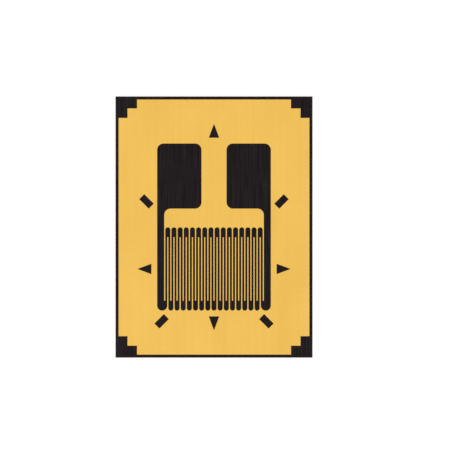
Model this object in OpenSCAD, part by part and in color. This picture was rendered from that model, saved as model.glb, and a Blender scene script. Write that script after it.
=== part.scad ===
// Foil strain gauge: a meander of etched resistance foil with its solder tabs, alignment marks and
// trim frame, carried on a rectangular polyimide film. All lengths are in millimetres.
// The origin lies on the bonding face, under the centre of the measuring grid. +Y is the direction
// in which strain is measured, towards the solder tabs, and +Z points away from the specimen.

/* [Laminate] */
// Thickness of the polyimide backing film
film_thickness = 0.03; // [0.02:0.005:0.08]
// Thickness of the etched foil
foil_thickness = 0.0045; // [0.003:0.0005:0.01]

/* [Measuring grid] */
// Active length of the strands, from slot end to slot end
gauge_length = 3.175; // [2.5:0.025:5]
// Number of end loops along the tab side, each joining two strands
tab_side_loops = 16; // [8:1:24]
// Width of one strand
strand_width = 0.1; // [0.05:0.001:0.12]
// Gap between neighbouring strands
strand_gap = 0.054; // [0.04:0.001:0.1]
// Length of an end loop, from the slot end to its round tip
loop_length = 0.495; // [0.4:0.005:0.8]

/* [Solder tabs] */
// Width of the leads that run down both sides of the grid
lead_width = 0.35; // [0.2:0.01:0.5]
// Bare film between the two solder tabs
tab_gap = 1.255; // [0.6:0.005:2.4]
// Length of a solder tab along the measuring direction
tab_length = 3.255; // [2:0.005:5]
// Radius of the tab's corners and of the fillet between tab and lead
tab_radius = 0.32; // [0.1:0.01:0.45]
// Bare film between the solder tabs and the end loops below them
tab_clearance = 0.935; // [0.6:0.005:1.6]

/* [Alignment marks] */
// Bare film between the conductor and the base of each axis arrow
mark_clearance = 0.29; // [0.2:0.01:0.6]
// Width of an axis arrow at its base
arrow_base = 0.52; // [0.3:0.01:0.8]
// Length of an axis arrow, base to tip
arrow_length = 0.7; // [0.4:0.01:1]
// Width of a diagonal mark
diagonal_width = 0.355; // [0.2:0.005:0.5]
// Length of a diagonal mark
diagonal_length = 0.67; // [0.4:0.01:0.9]
// Distance from the base line of the nearest axis arrow to the centre of a diagonal mark
diagonal_offset = 0.245; // [0.1:0.005:0.4]

/* [Trim frame] */
// Bare film and frame from the tips of the side arrows to the film's edge
side_margin = 1.09; // [0.6:0.005:2]
// Bare film and frame from the tips of the end arrows to the film's edge
end_margin = 1.36; // [0.8:0.005:2.5]
// Width of the foil border along the film's edge
border_width = 0.15; // [0.08:0.005:0.25]
// Width of each step of a corner mark, measured from the film's edge
corner_width = 0.595; // [0.4:0.005:0.8]
// Reach of a corner mark along the film's edge
corner_reach = 1.07; // [0.9:0.01:1.5]

/* [Hidden] */
$fn = 64;

film_colour = [0.945, 0.757, 0.357];
foil_colour = [0.137, 0.122, 0.125];

// Strands: pitch, number, and the width between the two leads that they fill
strand_pitch = strand_width + strand_gap;
strand_count = 2 * tab_side_loops;
grid_width = strand_count * strand_pitch + strand_gap;

// Outline of the conductor, measured from the centre of the grid:
// strands and leads reach into their end loops by the overlap
slot_end_y = gauge_length / 2;
loop_tip_y = slot_end_y + loop_length;
loop_overlap = loop_length / 4;
lead_outer_x = grid_width / 2 + lead_width;
tab_width = lead_outer_x - tab_gap / 2;
tab_foot_y = loop_tip_y + tab_clearance;
tab_top_y = tab_foot_y + tab_length;

// Axis arrows: their bases stand off the conductor on its four sides
side_arrow_x = lead_outer_x + mark_clearance;
top_arrow_y = tab_top_y + mark_clearance;
bottom_arrow_y = loop_tip_y + mark_clearance;

// Diagonal marks: on the 45 degree lines through the centre of the grid,
// the upper pair in line with the side arrows and the lower pair with the bottom arrow
upper_diagonal = side_arrow_x + diagonal_offset;
lower_diagonal = bottom_arrow_y + diagonal_offset;

// Outline of the film
film_half_width = side_arrow_x + arrow_length + side_margin;
film_top_y = top_arrow_y + arrow_length + end_margin;
film_bottom_y = -(bottom_arrow_y + arrow_length + end_margin);
film_width = 2 * film_half_width;
film_length = film_top_y - film_bottom_y;
film_centre_y = (film_top_y + film_bottom_y) / 2;

// Left edge of a strand, counted from the left lead
function strand_x(index) = -grid_width / 2 + strand_gap + index * strand_pitch;

// A piece of foil of the given outline, on top of the film
module foil() {
    color(foil_colour)
        translate([0, 0, film_thickness])
            linear_extrude(foil_thickness)
                children();
}

// The outline and its mirror image on the other side of the grid's axis
module both_sides() {
    children();
    mirror([1, 0])
        children();
}

// The film's outline, inset from its side edges and its end edges
module film_outline(side_inset = 0, end_inset = 0) {
    translate([0, film_centre_y])
        square([film_width - 2 * side_inset, film_length - 2 * end_inset], center = true);
}

// One straight strand between the two rows of end loops, reaching into the loops at both ends
module strand(index) {
    translate([strand_x(index), -slot_end_y - loop_overlap])
        square([strand_width, gauge_length + 2 * loop_overlap]);
}

// An end loop over the given span of legs and gap, with its left edge at x = 0:
// solid foil from the slot end at y = 0 to a full round tip
module end_loop(span) {
    tip_radius = span / 2;
    square([span, loop_length - tip_radius]);
    translate([tip_radius, loop_length - tip_radius])
        circle(tip_radius);
}

// Two strands joined at the tab side, and at the far side from one pair to the next
module meander() {
    span = strand_pitch + strand_width;
    for (index = [0 : strand_count - 1])
        strand(index);
    for (index = [0 : 2 : strand_count - 2])
        translate([strand_x(index), slot_end_y])
            end_loop(span);
    for (index = [1 : 2 : strand_count - 3])
        translate([strand_x(index), -slot_end_y])
            mirror([0, 1])
                end_loop(span);
}

// The left lead, with the wide end loop that joins it to the first strand
module lead() {
    foot_y = -slot_end_y - loop_overlap;
    translate([-lead_outer_x, foot_y])
        square([lead_width, tab_foot_y + tab_radius - foot_y]);
    translate([-lead_outer_x, -slot_end_y])
        mirror([0, 1])
            end_loop(lead_width + strand_pitch);
}

// The left solder tab: a plate with three round corners, and a square one where the lead runs in
module solder_tab() {
    inner_x = tab_width - tab_radius;
    upper_y = tab_length - tab_radius;
    translate([-lead_outer_x, tab_foot_y]) {
        square([inner_x, upper_y]);
        translate([0, tab_radius])
            square([tab_width, upper_y - tab_radius]);
        translate([tab_radius, 0])
            square([inner_x - tab_radius, tab_length]);
        for (centre = [[tab_radius, upper_y], [inner_x, upper_y], [inner_x, tab_radius]])
            translate(centre)
                circle(tab_radius);
    }
}

// The fillet between the left lead and the foot of its tab
module tab_fillet() {
    translate([-lead_outer_x + lead_width, tab_foot_y - tab_radius])
        difference() {
            square(tab_radius);
            translate([tab_radius, 0])
                circle(tab_radius);
        }
}

// A triangle that points along +Y, with its base on the X axis
module arrow() {
    polygon([[-arrow_base / 2, 0], [arrow_base / 2, 0], [0, arrow_length]]);
}

// An axis arrow that points away from the grid, turned from +Y, with its base at the given distance
module axis_arrow(turn, distance) {
    foil()
        rotate(turn)
            translate([0, distance])
                arrow();
}

// A diagonal mark on a 45 degree line through the centre of the grid: sides gives its quadrant
module diagonal_mark(sides, distance) {
    foil()
        translate(distance * sides)
            rotate(45 * sides.x * sides.y)
                square([diagonal_length, diagonal_width], center = true);
}

module backing_film() {
    color(film_colour)
        linear_extrude(film_thickness)
            film_outline();
}

// Grid, leads and solder tabs are one continuous conductor
module measuring_grid_foil() {
    foil() {
        meander();
        both_sides() {
            lead();
            solder_tab();
            tab_fillet();
        }
    }
}

// Border with stepped corner marks: what three overlapping windows leave of the outline
module trim_frame() {
    windows = [
        [border_width, corner_reach],
        [corner_width, corner_width],
        [corner_reach, border_width],
    ];
    foil()
        difference() {
            film_outline();
            for (inset = windows)
                film_outline(inset.x, inset.y);
        }
}

backing_film();
measuring_grid_foil();
trim_frame();
axis_arrow(0, top_arrow_y);  // top_axis_arrow
axis_arrow(180, bottom_arrow_y);  // bottom_axis_arrow
axis_arrow(90, side_arrow_x);  // left_axis_arrow
axis_arrow(270, side_arrow_x);  // right_axis_arrow
diagonal_mark([-1, 1], upper_diagonal);  // upper_left_diagonal_mark
diagonal_mark([1, 1], upper_diagonal);  // upper_right_diagonal_mark
diagonal_mark([-1, -1], lower_diagonal);  // lower_left_diagonal_mark
diagonal_mark([1, -1], lower_diagonal);  // lower_right_diagonal_mark
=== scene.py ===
"""Foil strain gauge: etched foil on an amber polyimide film, lying on a white floor, seen from above."""
import math

import bmesh
import bpy
from mathutils import Matrix, Vector


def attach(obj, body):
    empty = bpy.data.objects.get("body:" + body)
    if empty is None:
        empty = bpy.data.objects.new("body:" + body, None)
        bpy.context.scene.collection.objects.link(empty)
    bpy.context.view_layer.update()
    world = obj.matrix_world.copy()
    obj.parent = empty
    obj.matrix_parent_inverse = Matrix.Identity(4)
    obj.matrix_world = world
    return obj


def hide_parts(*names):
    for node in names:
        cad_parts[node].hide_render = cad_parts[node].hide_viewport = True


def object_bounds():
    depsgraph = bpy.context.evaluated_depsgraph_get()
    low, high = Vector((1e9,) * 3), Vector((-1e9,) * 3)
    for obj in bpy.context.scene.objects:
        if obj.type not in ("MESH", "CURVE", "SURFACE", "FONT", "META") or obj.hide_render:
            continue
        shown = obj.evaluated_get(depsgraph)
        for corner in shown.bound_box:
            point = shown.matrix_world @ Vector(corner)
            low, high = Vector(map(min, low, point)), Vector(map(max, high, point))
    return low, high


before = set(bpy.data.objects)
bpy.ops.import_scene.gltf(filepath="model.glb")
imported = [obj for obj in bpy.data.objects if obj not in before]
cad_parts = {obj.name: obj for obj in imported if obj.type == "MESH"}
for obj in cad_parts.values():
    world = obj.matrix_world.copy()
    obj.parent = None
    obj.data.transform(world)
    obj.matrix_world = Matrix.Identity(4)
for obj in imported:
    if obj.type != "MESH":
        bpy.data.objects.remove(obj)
cad_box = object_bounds()

MM = 0.001
MICRON = 0.000001
WHITE = (1, 1, 1, 1)

# Pieces: the film, and every other node is etched foil
FILM_NODE = "backing_film"
FOIL_NODES = [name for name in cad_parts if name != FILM_NODE]

# Edges: chamfers along the trimmed edges of the film and the etched edges of the foil
FILM_CHAMFER = 2.0 * MICRON
FOIL_CHAMFER = 1.5 * MICRON
# Corners closer than this are one corner
WELD = 0.1 * MICRON
# Neighbouring faces that turn less than this are one flat face
FLAT_ANGLE = math.radians(1)
# Neighbouring faces that turn less than this are one round face
ROUND_ANGLE = math.radians(30)
# A face whose normal rises by less than this is a wall
WALL_RISE = 0.5

# Film: linear colours of its paler and deeper places and of its cut edge
FILM_PALE = (0.962, 0.581, 0.096, 1)
FILM_DEEP = (0.826, 0.477, 0.058, 1)
FILM_CUT_EDGE = (0.50, 0.21, 0.02, 1)
# Sizes along X, Y and Z of its clouds, casting streaks and satin grain, and their shares in its tone
FILM_CLOUDS = (2.6 * MM, 3.4 * MM, 1 * MM)
FILM_STREAKS = (0.16 * MM, 9 * MM, 1 * MM)
FILM_GRAIN = (0.045 * MM, 0.06 * MM, 0.05 * MM)
FILM_TONE_SHARES = (0.4, 0.25, 0.35)
# Range of its roughness, and height of its relief, with the shares of grain and streaks in it
FILM_ROUGHNESS = (0.36, 0.5)
FILM_RELIEF = 0.42 * MICRON
FILM_RELIEF_SHARES = (0.7, 0.3)

# Foil: linear colours of its darker and brighter rolling marks
FOIL_DARK = (0.0076, 0.0061, 0.0064, 1)
FOIL_BRIGHT = (0.0223, 0.0182, 0.0192, 1)
# Tint of its reflection at a glancing angle, which keeps it dark from low viewpoints
FOIL_GLANCE = (0.7, 0.7, 0.7, 1)
# Sizes along X, Y and Z of its rolling marks, patches and etching pits
FOIL_ROLLING = (0.04 * MM, 2.4 * MM, 1 * MM)
FOIL_PATCHES = (0.5 * MM, 0.8 * MM, 1 * MM)
FOIL_PITS = (0.03 * MM, 0.03 * MM, 0.03 * MM)
# Shares of rolling marks and patches in its tone
FOIL_TONE_SHARES = (0.8, 0.2)
# Range of its roughness, and height of its relief, with the shares of rolling marks and pits in it
FOIL_ROUGHNESS = (0.26, 0.48)
FOIL_RELIEF = 0.24 * MICRON
FOIL_RELIEF_SHARES = (0.7, 0.3)

# Noise: octaves of detail, and the middle of its range, where most of it lies
NOISE_DETAIL = 3
NOISE_SPAN = (0.3, 0.7)
FULL_SPAN = (0, 1)
# Places of a mix node's factor, its two colours and its result among its sockets
MIX_FACTOR, MIX_FIRST, MIX_SECOND, MIX_RESULT = 0, 6, 7, 2

# View: a square frame, with the camera straight above the film, and its lens and sensor in millimetres
VIEW_WIDTH = 22.5 * MM
VIEW_CENTRE = (0.55 * MM, 2.1985 * MM)
LENS = 200
SENSOR = 36
CLIP_START = 1 * MM

# Stage: the floor, how far it lies below the film and what it adds to be seen as white, and the surround
FLOOR_SIZE = 1.5
FLOOR_DROP = 1 * MICRON
FLOOR_COLOUR = (0.8, 0.8, 0.8, 1)
FLOOR_GLOW = 0.26
WORLD_LIGHT = 0.62
WORLD_SEEN = 1.0
# Each lamp: direction from the film in degrees (azimuth from -Y, elevation), distance and size in metres,
# and power in watts
LAMPS = {
    "key_softbox": {"azimuth": -40, "elevation": 50, "distance": 0.7, "size": 0.5, "power": 2.05},
    "fill_softbox": {"azimuth": 75, "elevation": 38, "distance": 0.8, "size": 0.6, "power": 0.71},
}


def add_node(tree, kind, inputs=None, **settings):
    """A shader node with its settings. An input is a value, or another node's output."""
    node = tree.nodes.new(kind)
    for name, value in settings.items():
        setattr(node, name, value)
    for name, value in (inputs or {}).items():
        if isinstance(value, bpy.types.NodeSocket):
            tree.links.new(value, node.inputs[name])
        else:
            node.inputs[name].default_value = value
    return node


def calculate(tree, operation, *values):
    """The result of a math operation on values, each a number or another node's output."""
    return add_node(tree, "ShaderNodeMath", dict(enumerate(values)), operation=operation).outputs["Value"]


def remap(tree, value, source, target):
    """A value moved from one range to another."""
    ends = {"From Min": source[0], "From Max": source[1], "To Min": target[0], "To Max": target[1]}
    return add_node(tree, "ShaderNodeMapRange", {"Value": value, **ends}).outputs["Result"]


def noise(tree, grain):
    """Noise from 0 to 1 in the part's own coordinates: grain is its feature size along X, Y and Z."""
    place = add_node(tree, "ShaderNodeTexCoord").outputs["Object"]
    scaled = add_node(tree, "ShaderNodeMapping", {"Vector": place, "Scale": [1 / size for size in grain]})
    inputs = {"Vector": scaled.outputs["Vector"], "Scale": 1, "Detail": NOISE_DETAIL}
    texture = add_node(tree, "ShaderNodeTexNoise", inputs)
    return remap(tree, texture.outputs["Fac"], NOISE_SPAN, FULL_SPAN)


def blend(tree, values, shares):
    """Values from 0 to 1 added up, each by its share of the whole."""
    total = 0
    for value, share in zip(values, shares):
        total = calculate(tree, "MULTIPLY_ADD", value, share, total)
    return total


def mix_colour(tree, factor, first, second):
    """The first colour where factor is 0, and the second where it is 1."""
    inputs = {MIX_FACTOR: factor, MIX_FIRST: first, MIX_SECOND: second}
    return add_node(tree, "ShaderNodeMix", inputs, data_type="RGBA").outputs[MIX_RESULT]


def level_share(tree):
    """1 on faces that lie level, and 0 on upright ones."""
    normal = add_node(tree, "ShaderNodeNewGeometry").outputs["True Normal"]
    rise = add_node(tree, "ShaderNodeSeparateXYZ", {"Vector": normal}).outputs["Z"]
    return calculate(tree, "ABSOLUTE", rise)


def direct_view(tree):
    """1 for what is seen by the camera, in a reflection or through a clear piece, and 0 for other light."""
    path = add_node(tree, "ShaderNodeLightPath")
    seen = path.outputs["Is Camera Ray"]
    for ray in ("Is Glossy Ray", "Is Transmission Ray"):
        seen = calculate(tree, "MAXIMUM", seen, path.outputs[ray])
    return seen


def new_material(name):
    """A node material with a plain surface shader: the material, its node tree and the shader."""
    material = bpy.data.materials.new(name)
    material.use_nodes = True
    tree = material.node_tree
    tree.nodes.clear()
    shader = add_node(tree, "ShaderNodeBsdfPrincipled")
    add_node(tree, "ShaderNodeOutputMaterial", {"Surface": shader.outputs["BSDF"]})
    return material, tree, shader


def set_surface(tree, shader, colour, roughness, height, relief):
    """The shader's colour, roughness and surface: height runs from 0 to 1 over the depth of the relief."""
    bump = add_node(tree, "ShaderNodeBump", {"Height": height, "Strength": 1, "Distance": relief})
    tree.links.new(colour, shader.inputs["Base Color"])
    tree.links.new(roughness, shader.inputs["Roughness"])
    tree.links.new(bump.outputs["Normal"], shader.inputs["Normal"])


def film_material():
    """Amber polyimide: faint clouds and casting streaks, a satin grain and a deeper tone at cut edges."""
    material, tree, shader = new_material("amber_polyimide")
    clouds = noise(tree, FILM_CLOUDS)
    streaks = noise(tree, FILM_STREAKS)
    grain = noise(tree, FILM_GRAIN)
    tone = blend(tree, (clouds, streaks, grain), FILM_TONE_SHARES)
    amber = mix_colour(tree, tone, FILM_PALE, FILM_DEEP)
    colour = mix_colour(tree, level_share(tree), FILM_CUT_EDGE, amber)
    roughness = remap(tree, grain, FULL_SPAN, FILM_ROUGHNESS)
    height = blend(tree, (grain, streaks), FILM_RELIEF_SHARES)
    set_surface(tree, shader, colour, roughness, height, FILM_RELIEF)
    return material


def foil_material():
    """Dark etched foil: rolling marks along the strands, in its tone, its gloss and its surface."""
    material, tree, shader = new_material("dark_etched_foil")
    rolling = noise(tree, FOIL_ROLLING)
    patches = noise(tree, FOIL_PATCHES)
    pits = noise(tree, FOIL_PITS)
    tone = blend(tree, (rolling, patches), FOIL_TONE_SHARES)
    colour = mix_colour(tree, tone, FOIL_DARK, FOIL_BRIGHT)
    height = blend(tree, (rolling, pits), FOIL_RELIEF_SHARES)
    roughness = remap(tree, height, FULL_SPAN, FOIL_ROUGHNESS)
    set_surface(tree, shader, colour, roughness, height, FOIL_RELIEF)
    shader.inputs["Metallic"].default_value = 1.0
    shader.inputs["Specular Tint"].default_value = FOIL_GLANCE
    return material


def is_rim(edge, ends):
    """Whether an edge lies between a wall and a flat end: the upper end, or either of the two."""
    rises = sorted((face.normal.z if ends == "upper" else abs(face.normal.z)) for face in edge.link_faces)
    return len(rises) == 2 and abs(rises[0]) < WALL_RISE < rises[1]


def edged_copy(node, ends, chamfer):
    """A mesh of the node's form with whole faces, shared corners and a chamfer along its rims."""
    solid = bmesh.new()
    solid.from_mesh(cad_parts[node].data)
    # Worked in microns, because mesh tools take shorter lengths as nothing
    bmesh.ops.transform(solid, matrix=Matrix.Scale(1 / MICRON, 4), verts=solid.verts)
    bmesh.ops.remove_doubles(solid, verts=solid.verts, dist=WELD / MICRON)
    bmesh.ops.dissolve_limit(solid, angle_limit=FLAT_ANGLE, verts=solid.verts, edges=solid.edges)
    rims = [edge for edge in solid.edges if is_rim(edge, ends)]
    width = chamfer / MICRON
    bmesh.ops.bevel(solid, geom=rims, offset=width, segments=1, affect="EDGES", clamp_overlap=True)
    bmesh.ops.transform(solid, matrix=Matrix.Scale(MICRON, 4), verts=solid.verts)
    mesh = bpy.data.meshes.new(node)
    solid.to_mesh(mesh)
    solid.free()
    # The chamfered faces need normals of their own, in place of those that came with the node
    stored_normals = mesh.attributes.get("custom_normal")
    if stored_normals:
        mesh.attributes.remove(stored_normals)
    mesh.shade_smooth()
    mesh.set_sharp_from_angle(angle=ROUND_ANGLE)
    return mesh


def add_piece(name, node, mesh, material):
    """A piece of the gauge that stands for its node."""
    piece = bpy.data.objects.new(name, mesh)
    bpy.context.scene.collection.objects.link(piece)
    mesh.materials.append(material)
    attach(piece, "root")
    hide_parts(node)


def build_film():
    """The carrier film, with both rims eased where it was trimmed."""
    mesh = edged_copy(FILM_NODE, "both", FILM_CHAMFER)
    add_piece("polyimide_film", FILM_NODE, mesh, film_material())


def build_foils():
    """Every piece of foil, with its upper rim eased by the etching."""
    material = foil_material()
    for node in FOIL_NODES:
        add_piece("etched_" + node, node, edged_copy(node, "upper", FOIL_CHAMFER), material)


def build_floor():
    """A plain white floor that keeps the shadow of what lies on it."""
    half = FLOOR_SIZE / 2
    corners = [(x, y, -FLOOR_DROP) for x, y in ((-half, -half), (half, -half), (half, half), (-half, half))]
    mesh = bpy.data.meshes.new("floor")
    mesh.from_pydata(corners, [], [range(len(corners))])
    material, tree, shader = new_material("white_floor")
    shader.inputs["Base Color"].default_value = FLOOR_COLOUR
    shader.inputs["Roughness"].default_value = 1.0
    shader.inputs["Specular IOR Level"].default_value = 0.0
    shader.inputs["Emission Color"].default_value = WHITE
    glow = calculate(tree, "MULTIPLY", direct_view(tree), FLOOR_GLOW)
    tree.links.new(glow, shader.inputs["Emission Strength"])
    mesh.materials.append(material)
    floor = bpy.data.objects.new("floor", mesh)
    bpy.context.scene.collection.objects.link(floor)


def build_world():
    """An even white surround: white where it is seen, and a plain level of light elsewhere."""
    world = bpy.data.worlds.new("white_surround")
    world.use_nodes = True
    tree = world.node_tree
    tree.nodes.clear()
    strength = remap(tree, direct_view(tree), FULL_SPAN, (WORLD_LIGHT, WORLD_SEEN))
    background = add_node(tree, "ShaderNodeBackground", {"Color": WHITE, "Strength": strength})
    add_node(tree, "ShaderNodeOutputWorld", {"Surface": background.outputs["Background"]})
    bpy.context.scene.world = world


def build_lamps():
    """Two softboxes that face the middle of the film."""
    target = (cad_box[0] + cad_box[1]) / 2
    for name, lamp in LAMPS.items():
        azimuth = math.radians(lamp["azimuth"])
        elevation = math.radians(lamp["elevation"])
        level = math.cos(elevation)
        towards = Vector((math.sin(azimuth) * level, -math.cos(azimuth) * level, math.sin(elevation)))
        light = bpy.data.lights.new(name, "AREA")
        light.energy = lamp["power"]
        light.size = lamp["size"]
        softbox = bpy.data.objects.new(name, light)
        softbox.location = target + towards * lamp["distance"]
        softbox.rotation_euler = towards.to_track_quat("Z", "Y").to_euler()
        bpy.context.scene.collection.objects.link(softbox)


def build_camera():
    """A camera straight above the film, with the tabs to the top of the picture."""
    data = bpy.data.cameras.new("camera")
    data.lens = LENS
    data.sensor_width = SENSOR
    data.clip_start = CLIP_START
    camera = bpy.data.objects.new("camera", data)
    top = cad_box[1].z
    camera.location = (*VIEW_CENTRE, top + VIEW_WIDTH * LENS / SENSOR)
    bpy.context.scene.collection.objects.link(camera)
    bpy.context.scene.camera = camera


bpy.context.scene.view_settings.view_transform = "Standard"
build_film()
build_foils()
build_floor()
build_world()
build_lamps()
build_camera()
